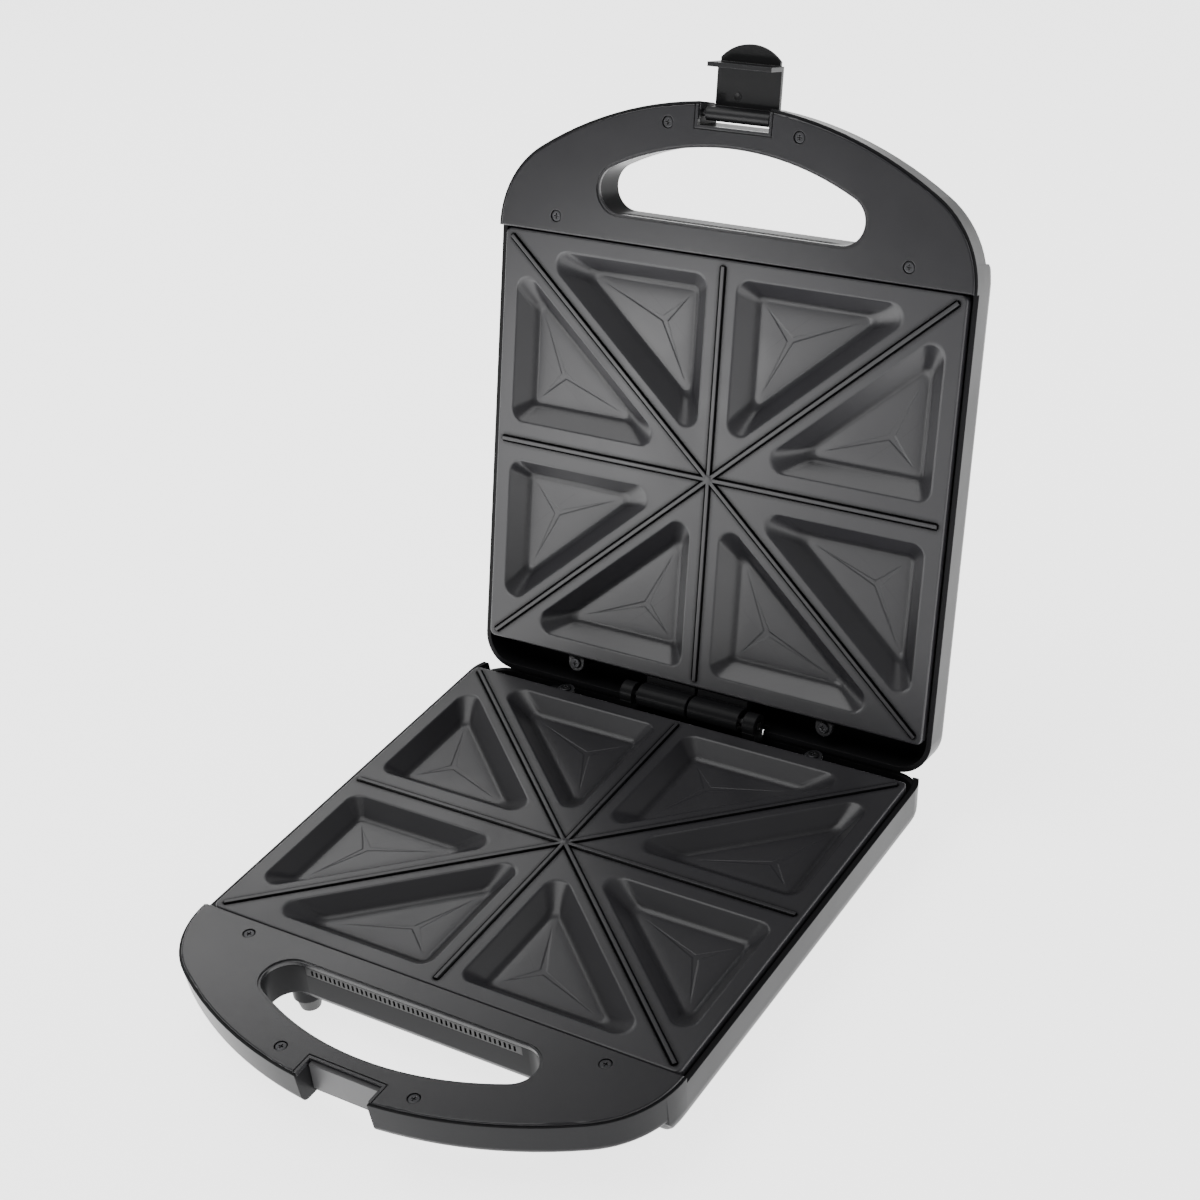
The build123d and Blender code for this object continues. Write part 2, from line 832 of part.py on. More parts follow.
def gland_relief():
    """Hole for the gland, and the space behind the pad."""
    inside = casing_rear - casing_wall
    hole = rod_y(gland_x, gland_z, gland_body_radius, inside - 40, casing_rear + 1)
    space = rod_y(gland_x, gland_z, gland_pad_radius - 1.6, inside - 10, inside)
    return hole + (space & body_block(casing_wall, 0))


def cord_gland():
    """Flanged bush in the rear wall that the supply cord passes through."""
    inner = casing_rear - casing_wall - gland_inner_length
    tube = rod_y(gland_x, gland_z, gland_body_radius, inner, casing_rear + gland_flange)
    flange = rod_y(gland_x, gland_z, gland_flange_radius, casing_rear, casing_rear + gland_flange)
    return tube + flange - rod_y(gland_x, gland_z, gland_bore_radius, 0, 200)


def terminal_block():
    """Two-way terminal block on the casing floor, where the cord ends."""
    floor = casing_wall - casing_depth
    body = box_between(terminal_x - terminal_size_x / 2, terminal_x + terminal_size_x / 2,
                       terminal_y - terminal_size_y / 2, terminal_y + terminal_size_y / 2,
                       floor, floor + terminal_height)
    for i in (-1, 0, 1):
        x = terminal_x + i * terminal_size_x / 3
        body -= rod_y(x, floor + 4.2, 1.7, 0, 200)
        body -= post(x, terminal_y, 2.0, floor + 5, floor + terminal_height + 1)
    return body


def thermostat():
    """Disc thermostat on the back of the reflector."""
    top = -reflector_under
    body = post(0, 0, thermostat_radius, top - thermostat_height, top)
    body += box_between(-thermostat_radius - 5, thermostat_radius + 5, -4, 4, top - 1, top)
    for side in (-1, 1):
        x0, x1 = sorted((side * (thermostat_radius - 2), side * (thermostat_radius + 6)))
        body += box_between(x0, x1, -2, 2, top - thermostat_height + 0.6,
                            top - thermostat_height + 1.4)
    return body


def thermal_fuse():
    """Thermal fuse in its sleeve, clipped to the back of the reflector."""
    z = -reflector_under - fuse_radius - 0.6
    body = rod_x(0, z, fuse_radius, fuse_x - fuse_length / 2, fuse_x + fuse_length / 2)
    body += box_between(fuse_x - 4, fuse_x + 4, -3.2, 3.2, z, -reflector_under)
    return body


def lamp_places():
    return [(-lamp_spacing / 2, lamp_y), (lamp_spacing / 2, lamp_y)]


def lamp_holes():
    radius = lamp_lens_radius + lamp_hole_clearance
    return [post(x, y, radius, -casing_depth - 1, -casing_depth + casing_wall + 1)
            for x, y in lamp_places()]


def lamp_lens(x, y):
    inner = -casing_depth + casing_wall
    lens = post(x, y, lamp_lens_radius, -casing_depth - lamp_lens_proud, inner)
    lens = fillet(lens.edges().group_by(Axis.Z)[0], lamp_lens_proud - 0.1)
    return lens + post(x, y, lamp_lens_flange, inner, inner + 1.2)


def lamps():
    low = -casing_depth + casing_wall + 1.2
    return Compound(children=[post(x, y, lamp_body_radius, low, low + lamp_body_length).solid()
                              for x, y in lamp_places()])


# Whole shells

def base_shell():
    shell = half_shell()
    shell -= box_between(-200, 200, hinge_y - 2.5, 200, 1, -rear_wall_top)
    for x, y in foot_places().values():
        shell += post(x, y, foot_boss_radius, -casing_depth, -casing_depth + 10)
    shell += gland_pad()
    for ear in base_ears():
        shell += ear
    for x, y in foot_places().values():
        shell -= post(x, y, foot_stem_radius, -casing_depth - 1, -casing_depth + foot_stem_length)
    shell -= gland_relief()
    return shell - hinge_bore(0)


def lid_shell():
    """Lid casing drawn closed, above the parting plane."""
    shell = half_shell()
    for hole in lamp_holes():
        shell -= hole
    shell = mirror(shell, Plane.XY)
    for solid in lid_barrels() + latch_pin_seats():
        shell += solid
    for slot in ear_slots():
        shell -= slot
    shell -= hinge_bore(hinge_pin_clearance)
    reach = notch_half_width + latch_pin_grip
    return shell - rod_x(latch_y, latch_pivot_depth, latch_pin_radius, -reach, reach)


def base_parts():
    parts = {
        "base_shell": base_shell(),
        "base_handle_cover": handle_cover(),
        "lower_plate": plate(),
        "lower_heater": heater(),
        "lower_heater_clamps": heater_clamps(),
        "lower_reflector": reflector(),
        "base_handle_screws": handle_screws(),
        "lower_plate_screws": plate_screws(),
        "base_vent_strip": vent_strip(),
        "latch_catch": catch(),
        "hinge_pin": hinge_pin(),
        "cord_gland": cord_gland(),
        "terminal_block": terminal_block(),
        "thermal_fuse": thermal_fuse(),
    }
    for name, (x, y) in foot_places().items():
        parts[name] = foot(x, y)
    return parts


def lid_parts():
    """Pieces of the lid, drawn below the parting plane and mirrored above it."""
    drawn_low = {
        "lid_handle_cover": handle_cover(),
        "upper_plate": plate(),
        "upper_heater": heater(),
        "upper_heater_clamps": heater_clamps(),
        "upper_reflector": reflector(),
        "lid_handle_screws": handle_screws(),
        "upper_plate_screws": plate_screws(),
        "lid_vent_strip": vent_strip(),
        "thermostat": thermostat(),
        "power_lamp_lens": lamp_lens(*lamp_places()[0]),
        "ready_lamp_lens": lamp_lens(*lamp_places()[1]),
        "indicator_lamps": lamps(),
    }
    parts = {name: mirror(solid, Plane.XY) for name, solid in drawn_low.items()}
    parts["lid_shell"] = lid_shell()
    parts["latch_pin"] = latch_pin()
    parts["latch"] = latch()
    return {name: swing_open(solid) for name, solid in parts.items()}


parts = base_parts() | lid_parts()
whole = Compound(children=[Compound(children=list(p.solids())) for p in parts.values()])
box = whole.bounding_box()
shift = Vector(0, -(box.min.Y + box.max.Y) / 2, -floor_z)
os.makedirs("parts", exist_ok=True)
for name, shape in parts.items():
    export_step(shape.moved(Location(shift)), f"parts/{name}.step")
print("shift", shift, "hinge", hinge_y + shift.Y, shift.Z)
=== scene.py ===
import json
import math
import bpy
from mathutils import Matrix, Vector


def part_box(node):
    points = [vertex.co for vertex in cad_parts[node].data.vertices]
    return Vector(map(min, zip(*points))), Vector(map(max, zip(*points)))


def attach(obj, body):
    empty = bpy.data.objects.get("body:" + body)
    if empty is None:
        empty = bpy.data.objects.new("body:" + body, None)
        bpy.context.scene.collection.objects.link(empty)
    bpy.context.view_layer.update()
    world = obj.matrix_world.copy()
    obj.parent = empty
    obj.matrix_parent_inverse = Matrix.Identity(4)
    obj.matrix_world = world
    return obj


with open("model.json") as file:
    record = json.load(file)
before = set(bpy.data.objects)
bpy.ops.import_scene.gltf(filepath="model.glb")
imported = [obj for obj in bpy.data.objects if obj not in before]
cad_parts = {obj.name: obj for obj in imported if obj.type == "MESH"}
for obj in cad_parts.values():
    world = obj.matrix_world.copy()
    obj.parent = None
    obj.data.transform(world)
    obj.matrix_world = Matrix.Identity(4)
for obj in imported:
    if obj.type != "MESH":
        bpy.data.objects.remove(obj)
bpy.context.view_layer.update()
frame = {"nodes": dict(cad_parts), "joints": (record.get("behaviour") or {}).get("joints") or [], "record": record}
nodes = frame["nodes"]
bpy.ops.object.select_all(action="DESELECT")
print("frame loaded:", len(nodes), "nodes")

hingeJoint = next(j for j in frame["joints"] if j["name"] == "lid_hinge")
latchJoint = next(j for j in frame["joints"] if j["name"] == "latch_pivot")
hingePlace = Vector(hingeJoint["pos_m"])
latchPlace = Vector(latchJoint["pos_m"])
openTurn = math.radians(hingeJoint["range_deg"][1])

cameraSetup = {
    "fromHinge": (0.52263, -0.80170, 0.65915),
    "azimuth": 35.5157,
    "elevation": 31.5681,
    "roll": -6.7240,
    "lens": 67.19,
    "sensor": 36.0,
    "clip": (0.05, 50.0),
}


def addCamera(setup):
    az = math.radians(setup["azimuth"])
    el = math.radians(setup["elevation"])
    roll = math.radians(setup["roll"])
    forward = Vector((-math.sin(az) * math.cos(el), math.cos(az) * math.cos(el), -math.sin(el)))
    level = forward.cross(Vector((0, 0, 1))).normalized()
    lift = level.cross(forward)
    right = math.cos(roll) * level + math.sin(roll) * lift
    up = -math.sin(roll) * level + math.cos(roll) * lift
    bpy.ops.object.camera_add(location=hingePlace + Vector(setup["fromHinge"]))
    camera = bpy.context.object
    camera.name = "studioCamera"
    turn = Matrix((right, up, -forward)).transposed()
    camera.rotation_mode = "QUATERNION"
    camera.rotation_quaternion = turn.to_quaternion()
    camera.data.lens = setup["lens"]
    camera.data.sensor_width = setup["sensor"]
    camera.data.clip_start, camera.data.clip_end = setup["clip"]
    bpy.context.scene.camera = camera
    return camera


addCamera(cameraSetup)
print("camera set")


def newGroup(name, inputs, outputs):
    group = bpy.data.node_groups.new(name, "ShaderNodeTree")
    for label, kind, value in inputs:
        socket = group.interface.new_socket(name=label, in_out="INPUT", socket_type=kind)
        if value is not None:
            socket.default_value = value
    for label, kind in outputs:
        group.interface.new_socket(name=label, in_out="OUTPUT", socket_type=kind)
    return group


def addNode(tree, kind, place, **values):
    node = tree.nodes.new(kind)
    node.location = place
    for key, value in values.items():
        if hasattr(node, key):
            setattr(node, key, value)
        else:
            node.inputs[key.replace("_", " ")].default_value = value
    return node


def addMath(tree, operation, place, a=None, b=None, c=None):
    node = addNode(tree, "ShaderNodeMath", place, operation=operation)
    for i, value in enumerate((a, b, c)):
        if isinstance(value, (int, float)):
            node.inputs[i].default_value = value
        elif value is not None:
            tree.links.new(value, node.inputs[i])
    return node.outputs[0]


grainSetup = {"smudgeScale": 9.0, "smudgeFrom": 0.42, "smudgeTo": 0.68}


def mouldGrainGroup(setup):
    # fine spark-eroded grain of a moulding, with slow mottling
    g = newGroup("mouldGrain", [
        ("Grain Scale", "NodeSocketFloat", 1400.0),
        ("Mottle Scale", "NodeSocketFloat", 22.0),
        ("Stretch", "NodeSocketVector", (1.0, 1.0, 1.0)),
    ], [("Grain", "NodeSocketFloat"), ("Mottle", "NodeSocketFloat"), ("Smudge", "NodeSocketFloat")])
    into = addNode(g, "NodeGroupInput", (-900, 0))
    out = addNode(g, "NodeGroupOutput", (500, 0))
    coord = addNode(g, "ShaderNodeTexCoord", (-900, 260))
    stretched = addNode(g, "ShaderNodeVectorMath", (-680, 200), operation="MULTIPLY")
    g.links.new(coord.outputs["Object"], stretched.inputs[0])
    g.links.new(into.outputs["Stretch"], stretched.inputs[1])
    grain = addNode(g, "ShaderNodeTexNoise", (-420, 260), Detail=3.0, Roughness=0.6)
    g.links.new(stretched.outputs[0], grain.inputs["Vector"])
    g.links.new(into.outputs["Grain Scale"], grain.inputs["Scale"])
    mottle = addNode(g, "ShaderNodeTexNoise", (-420, 0), Detail=4.0, Roughness=0.55)
    g.links.new(coord.outputs["Object"], mottle.inputs["Vector"])
    g.links.new(into.outputs["Mottle Scale"], mottle.inputs["Scale"])
    smudge = addNode(g, "ShaderNodeTexNoise", (-420, -260), Scale=setup["smudgeScale"], Detail=6.0,
                     Roughness=0.62, Distortion=0.6)
    g.links.new(coord.outputs["Object"], smudge.inputs["Vector"])
    shaped = addNode(g, "ShaderNodeMapRange", (-160, -260))
    shaped.inputs["From Min"].default_value = setup["smudgeFrom"]
    shaped.inputs["From Max"].default_value = setup["smudgeTo"]
    g.links.new(smudge.outputs["Fac"], shaped.inputs["Value"])
    g.links.new(grain.outputs["Fac"], out.inputs["Grain"])
    g.links.new(mottle.outputs["Fac"], out.inputs["Mottle"])
    g.links.new(shaped.outputs["Result"], out.inputs["Smudge"])
    return g


wearSetup = {"bendFrom": 0.02, "bendTo": 0.22, "breakFrom": 0.35, "breakTo": 0.65}


def edgeWearGroup(setup):
    # a mask that is strong on sharp outer edges, broken up by noise
    g = newGroup("edgeWear", [
        ("Width", "NodeSocketFloat", 0.0006),
        ("Break Up", "NodeSocketFloat", 300.0),
        ("Amount", "NodeSocketFloat", 1.0),
    ], [("Mask", "NodeSocketFloat"), ("Normal", "NodeSocketVector")])
    into = addNode(g, "NodeGroupInput", (-900, 0))
    out = addNode(g, "NodeGroupOutput", (600, 0))
    rounded = addNode(g, "ShaderNodeBevel", (-640, 100), samples=4)
    g.links.new(into.outputs["Width"], rounded.inputs["Radius"])
    geometry = addNode(g, "ShaderNodeNewGeometry", (-640, -80))
    dot = addNode(g, "ShaderNodeVectorMath", (-420, 40), operation="DOT_PRODUCT")
    g.links.new(rounded.outputs["Normal"], dot.inputs[0])
    g.links.new(geometry.outputs["Normal"], dot.inputs[1])
    bend = addMath(g, "SUBTRACT", (-240, 40), 1.0, dot.outputs["Value"])
    edge = addNode(g, "ShaderNodeMapRange", (-60, 40))
    edge.inputs["From Min"].default_value = setup["bendFrom"]
    edge.inputs["From Max"].default_value = setup["bendTo"]
    g.links.new(bend, edge.inputs["Value"])
    coord = addNode(g, "ShaderNodeTexCoord", (-640, -300))
    noise = addNode(g, "ShaderNodeTexNoise", (-420, -300), Detail=4.0, Roughness=0.7)
    g.links.new(coord.outputs["Object"], noise.inputs["Vector"])
    g.links.new(into.outputs["Break Up"], noise.inputs["Scale"])
    broken = addNode(g, "ShaderNodeMapRange", (-200, -300))
    broken.inputs["From Min"].default_value = setup["breakFrom"]
    broken.inputs["From Max"].default_value = setup["breakTo"]
    g.links.new(noise.outputs["Fac"], broken.inputs["Value"])
    mask = addMath(g, "MULTIPLY", (140, 0), edge.outputs["Result"], broken.outputs["Result"])
    scaled = addMath(g, "MULTIPLY", (320, 0), mask, into.outputs["Amount"])
    g.links.new(scaled, out.inputs["Mask"])
    g.links.new(rounded.outputs["Normal"], out.inputs["Normal"])
    return g


mouldGrain = mouldGrainGroup(grainSetup)
edgeWear = edgeWearGroup(wearSetup)

# the two occlusion limits of the painted crease shade are the last two entries here
surfaceSetup = {"edgeBreak": 260.0, "edgeShine": -0.06, "specular": 0.5, "smudgeShare": 0.6,
                "mottleShare": 0.4, "creaseShadeFrom": 0.86, "creaseShadeTo": 0.98}


def paintCreaseShade(tree, shader, tone, setup):
    # painted shade: ambient occlusion darkens the base colour and takes the shine off in grooves, creases and at
    # the feet of walls, where shade falls
    creaseOcclusion = addNode(tree, "ShaderNodeAmbientOcclusion", (-340, 560), samples=8, only_local=True)
    creaseOcclusion.inputs["Distance"].default_value = setup["creaseShadeReach"]
    creaseShade = addNode(tree, "ShaderNodeMapRange", (-140, 560))
    creaseShade.inputs["From Min"].default_value = surfaceSetup["creaseShadeFrom"]
    creaseShade.inputs["From Max"].default_value = surfaceSetup["creaseShadeTo"]
    creaseShade.inputs["To Min"].default_value = setup["creaseShadeTone"]
    tree.links.new(creaseOcclusion.outputs["AO"], creaseShade.inputs["Value"])
    shadedTone = addNode(tree, "ShaderNodeVectorMath", (-140, 340), operation="SCALE")
    tree.links.new(tone, shadedTone.inputs[0])
    tree.links.new(creaseShade.outputs["Result"], shadedTone.inputs["Scale"])
    tree.links.new(shadedTone.outputs[0], shader.inputs["Base Color"])
    shine = addMath(tree, "MULTIPLY", (60, 560), creaseShade.outputs["Result"], setup["specular"])
    tree.links.new(shine, shader.inputs["Specular IOR Level"])


def plasticMaterial(name, setup):
    mat = bpy.data.materials.new(name)
    mat.use_nodes = True
    tree = mat.node_tree
    shader = tree.nodes["Principled BSDF"]
    grain = addNode(tree, "ShaderNodeGroup", (-900, 200), node_tree=mouldGrain)
    grain.inputs["Grain Scale"].default_value = setup["grainScale"]
    grain.inputs["Mottle Scale"].default_value = setup["mottleScale"]
    grain.inputs["Stretch"].default_value = setup.get("stretch", (1, 1, 1))
    wear = addNode(tree, "ShaderNodeGroup", (-900, -200), node_tree=edgeWear)
    wear.inputs["Width"].default_value = setup["edgeWidth"]
    wear.inputs["Break Up"].default_value = surfaceSetup["edgeBreak"]
    wear.inputs["Amount"].default_value = setup["edgeAmount"]
    tone = addNode(tree, "ShaderNodeMix", (-560, 300), data_type="RGBA")
    tree.links.new(grain.outputs["Mottle"], tone.inputs[0])
    tone.inputs[6].default_value = (*setup["dark"], 1.0)
    tone.inputs[7].default_value = (*setup["light"], 1.0)
    worn = addNode(tree, "ShaderNodeMix", (-340, 300), data_type="RGBA")
    tree.links.new(wear.outputs["Mask"], worn.inputs[0])
    tree.links.new(tone.outputs[2], worn.inputs[6])
    worn.inputs[7].default_value = (*setup["worn"], 1.0)
    tree.links.new(worn.outputs[2], shader.inputs["Base Color"])
    shader.inputs["Specular IOR Level"].default_value = setup.get("specular", surfaceSetup["specular"])
    # painted shade in creases, for the materials that ask for it
    if "creaseShadeReach" in setup:
        paintCreaseShade(tree, shader, worn.outputs[2], setup)
    low, high = setup["roughness"]
    rough = addNode(tree, "ShaderNodeMapRange", (-560, 0))
    rough.inputs["To Min"].default_value = low
    rough.inputs["To Max"].default_value = high
    blend = addMath(tree, "MULTIPLY_ADD", (-720, 0), grain.outputs["Smudge"],
                    surfaceSetup["smudgeShare"], 0.0)
    both = addMath(tree, "MULTIPLY_ADD", (-640, -80), grain.outputs["Mottle"],
                   surfaceSetup["mottleShare"], blend)
    tree.links.new(both, rough.inputs["Value"])
    polished = addMath(tree, "MULTIPLY_ADD", (-380, 0), wear.outputs["Mask"], surfaceSetup["edgeShine"],
                       rough.outputs["Result"])
    tree.links.new(polished, shader.inputs["Roughness"])
    bump = addNode(tree, "ShaderNodeBump", (-300, -260), Strength=setup["bump"], Distance=setup["bumpDepth"])
    tree.links.new(grain.outputs["Grain"], bump.inputs["Height"])
    if setup.get("soften", True):
        tree.links.new(wear.outputs["Normal"], bump.inputs["Normal"])
    tree.links.new(bump.outputs["Normal"], shader.inputs["Normal"])
    shader.inputs["Metallic"].default_value = setup.get("metallic", 0.0)
    if "coat" in setup:
        shader.inputs["Coat Weight"].default_value = setup["coat"]
        shader.inputs["Coat Roughness"].default_value = setup["coatRoughness"]
    if "transmission" in setup:
        shader.inputs["Transmission Weight"].default_value = setup["transmission"]
    return mat


finishes = {
    "shell_plastic": dict(dark=(0.011, 0.011, 0.012), light=(0.016, 0.016, 0.017), worn=(0.05, 0.05, 0.053),
                          roughness=(0.26, 0.38), grainScale=1500.0, mottleScale=18.0, edgeWidth=0.0007,
                          edgeAmount=0.3, bump=0.06, bumpDepth=0.0002, specular=0.07),
    "cover_plastic": dict(dark=(0.015, 0.0147, 0.017), light=(0.022, 0.0217, 0.024),
                          worn=(0.11, 0.11, 0.115), roughness=(0.21, 0.29),
                          grainScale=2400.0, mottleScale=14.0, edgeWidth=0.0005,
                          edgeAmount=0.35, bump=0.14, bumpDepth=0.0002, specular=0.45),
    "plate_coating": dict(dark=(0.022, 0.0215, 0.024), light=(0.031, 0.0305, 0.034),
                          worn=(0.10, 0.10, 0.105), roughness=(0.27, 0.36),
                          grainScale=1800.0, mottleScale=26.0, edgeWidth=0.0008,
                          edgeAmount=0.4, bump=0.10, bumpDepth=0.0002, specular=0.5,
                          # painted shade in the plate's creases: how far the occlusion looks and how dark the
                          # creases get
                          creaseShadeReach=0.003, creaseShadeTone=0.05),
    "latch_plastic": dict(dark=(0.008, 0.008, 0.009), light=(0.014, 0.014, 0.015), worn=(0.16, 0.16, 0.17),
                          roughness=(0.30, 0.44), grainScale=2000.0, mottleScale=60.0, edgeWidth=0.0005,
                          edgeAmount=0.6, bump=0.12, bumpDepth=0.0002, specular=0.3),
    "catch_plastic": dict(dark=(0.045, 0.045, 0.047), light=(0.07, 0.07, 0.072), worn=(0.22, 0.22, 0.225),
                          roughness=(0.36, 0.48), grainScale=2200.0, mottleScale=70.0, edgeWidth=0.0005,
                          edgeAmount=0.4, bump=0.12, bumpDepth=0.0002),
    "vent_plastic": dict(dark=(0.010, 0.010, 0.010), light=(0.016, 0.016, 0.017), worn=(0.06, 0.06, 0.06),
                         roughness=(0.46, 0.60), grainScale=1800.0, mottleScale=60.0, edgeWidth=0.0003,
                         edgeAmount=0.3, bump=0.15, bumpDepth=0.0002),
    "screw_steel": dict(dark=(0.035, 0.035, 0.037), light=(0.07, 0.07, 0.074), worn=(0.45, 0.45, 0.46),
                        roughness=(0.26, 0.42), grainScale=3000.0, mottleScale=200.0, edgeWidth=0.0003,
                        edgeAmount=0.7, bump=0.14, bumpDepth=0.0001, metallic=0.9),
    "pin_steel": dict(dark=(0.42, 0.42, 0.43), light=(0.56, 0.56, 0.57), worn=(0.75, 0.75, 0.76),
                      roughness=(0.22, 0.34), grainScale=2600.0, mottleScale=120.0, stretch=(0.05, 1.0, 1.0),
                      edgeWidth=0.0003, edgeAmount=0.5, bump=0.12, bumpDepth=0.0001, metallic=1.0),
    "heater_steel": dict(dark=(0.05, 0.045, 0.042), light=(0.16, 0.15, 0.145), worn=(0.3, 0.28, 0.27),
                         roughness=(0.4, 0.6), grainScale=1600.0, mottleScale=50.0, edgeWidth=0.0004,
                         edgeAmount=0.3, bump=0.2, bumpDepth=0.0002, metallic=0.9),
    "reflector_sheet": dict(dark=(0.55, 0.55, 0.56), light=(0.7, 0.7, 0.71), worn=(0.85, 0.85, 0.86),
                            roughness=(0.28, 0.42), grainScale=1200.0, mottleScale=12.0,
                            stretch=(0.04, 1.0, 1.0), edgeWidth=0.0003, edgeAmount=0.4,
                            bump=0.1, bumpDepth=0.0001, metallic=1.0),
    "clip_steel": dict(dark=(0.4, 0.4, 0.41), light=(0.55, 0.55, 0.56), worn=(0.75, 0.75, 0.76),
                       roughness=(0.3, 0.42), grainScale=2200.0, mottleScale=80.0, edgeWidth=0.0003,
                       edgeAmount=0.4, bump=0.1, bumpDepth=0.0001, metallic=1.0),
    "foot_rubber": dict(dark=(0.010, 0.010, 0.010), light=(0.018, 0.018, 0.018), worn=(0.06, 0.06, 0.06),
                        roughness=(0.5, 0.68), grainScale=1600.0, mottleScale=90.0, edgeWidth=0.0005,
                        edgeAmount=0.3, bump=0.2, bumpDepth=0.0002),
    "gland_rubber": dict(dark=(0.010, 0.010, 0.010), light=(0.02, 0.02, 0.02), worn=(0.07, 0.07, 0.07),
                         roughness=(0.5, 0.66), grainScale=1600.0, mottleScale=90.0, edgeWidth=0.0005,
                         edgeAmount=0.3, bump=0.2, bumpDepth=0.0002),
    "terminal_plastic": dict(dark=(0.6, 0.58, 0.53), light=(0.72, 0.70, 0.65), worn=(0.8, 0.78, 0.74),
                             roughness=(0.3, 0.42), grainScale=2000.0, mottleScale=80.0, edgeWidth=0.0005,
                             edgeAmount=0.3, bump=0.1, bumpDepth=0.0002),
    "fuse_sleeve": dict(dark=(0.5, 0.46, 0.36), light=(0.66, 0.62, 0.52), worn=(0.75, 0.72, 0.62),
                        roughness=(0.45, 0.62), grainScale=1500.0, mottleScale=300.0, stretch=(2.0, 0.6, 0.6),
                        edgeWidth=0.0004, edgeAmount=0.2, bump=0.4, bumpDepth=0.0003),
    "thermostat_body": dict(dark=(0.06, 0.02, 0.012), light=(0.11, 0.045, 0.028), worn=(0.2, 0.1, 0.07),
                            roughness=(0.25, 0.36), grainScale=1800.0, mottleScale=90.0, edgeWidth=0.0005,
                            edgeAmount=0.3, bump=0.1, bumpDepth=0.0002),
    "red_lens": dict(dark=(0.35, 0.012, 0.010), light=(0.5, 0.022, 0.016), worn=(0.65, 0.1, 0.08),
                     roughness=(0.1, 0.18), grainScale=900.0, mottleScale=160.0, edgeWidth=0.0003,
                     edgeAmount=0.2, bump=0.05, bumpDepth=0.0001, coat=0.6, coatRoughness=0.08),
    "green_lens": dict(dark=(0.015, 0.22, 0.05), light=(0.03, 0.34, 0.08), worn=(0.1, 0.5, 0.16),
                       roughness=(0.1, 0.18), grainScale=900.0, mottleScale=160.0, edgeWidth=0.0003,
                       edgeAmount=0.2, bump=0.05, bumpDepth=0.0001, coat=0.6, coatRoughness=0.08),
    "lamp_glass": dict(dark=(0.8, 0.72, 0.6), light=(0.9, 0.8, 0.7), worn=(0.95, 0.9, 0.85),
                       roughness=(0.05, 0.12), grainScale=800.0, mottleScale=200.0, edgeWidth=0.0003,
                       edgeAmount=0.1, bump=0.05, bumpDepth=0.0001, transmission=0.8, soften=False),
}

materials = {name: plasticMaterial(name, setup) for name, setup in finishes.items()}
slotOf = {entry["node"]: entry["material_slot"] for entry in frame["record"]["subparts"]}
for name, node in nodes.items():
    node.data.materials.clear()
    node.data.materials.append(materials[slotOf[name]])
print("materials set:", len(materials))

edgeSetup = {"segments": 2, "sharperThan": math.radians(35), "smoothBelow": math.radians(32)}


def finishPiece(piece, bevel, body, slotName):
    # bevel, smooth and seat a modelled piece, with its place in its mesh
    edge = piece.modifiers.new("edge", "BEVEL")
    edge.width = bevel
    edge.segments = edgeSetup["segments"]
    edge.limit_method = "ANGLE"
    edge.angle_limit = edgeSetup["sharperThan"]
    bpy.ops.object.select_all(action="DESELECT")
    piece.select_set(True)
    bpy.context.view_layer.objects.active = piece
    bpy.ops.object.modifier_apply(modifier="edge")
    bpy.ops.object.transform_apply(location=True, rotation=True, scale=True)
    bpy.ops.object.mode_set(mode="EDIT")
    bpy.ops.mesh.select_all(action="SELECT")
    bpy.ops.mesh.normals_make_consistent(inside=False)
    bpy.ops.object.mode_set(mode="OBJECT")
    bpy.ops.object.shade_smooth_by_angle(angle=edgeSetup["smoothBelow"])
    piece.data.materials.clear()
    piece.data.materials.append(materials[slotName])
    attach(piece, body)
    bpy.ops.object.select_all(action="DESELECT")
    return piece


def turnWithLid(piece):
    # from the closed drawing to the open pose that the frame rests in
    opening = Matrix.Rotation(-openTurn, 4, "X")
    turn = Matrix.Translation(hingePlace) @ opening @ Matrix.Translation(-hingePlace)
    piece.matrix_world = turn @ piece.matrix_world
    bpy.context.view_layer.update()


def pickVertices(piece, test):
    # select vertices by place, ready for edit mode
    bpy.ops.object.mode_set(mode="OBJECT")
    for v in piece.data.vertices:
        v.select = test(v.co, v.index)
    for e in piece.data.edges:
        e.select = all(piece.data.vertices[i].select for i in e.vertices)
    for p in piece.data.polygons:
        p.select = all(piece.data.vertices[i].select for i in p.vertices)
    bpy.ops.object.mode_set(mode="EDIT")


rosetteSetup = {"radius": 0.0034, "waist": 0.62, "points": 8, "height": 0.0016, "top": 0.00012,
                "crownInset": 0.0011, "crownRise": 0.0001, "clear": 0.0001, "bevel": 0.00018,
                "plateCentreFromHinge": -0.122}


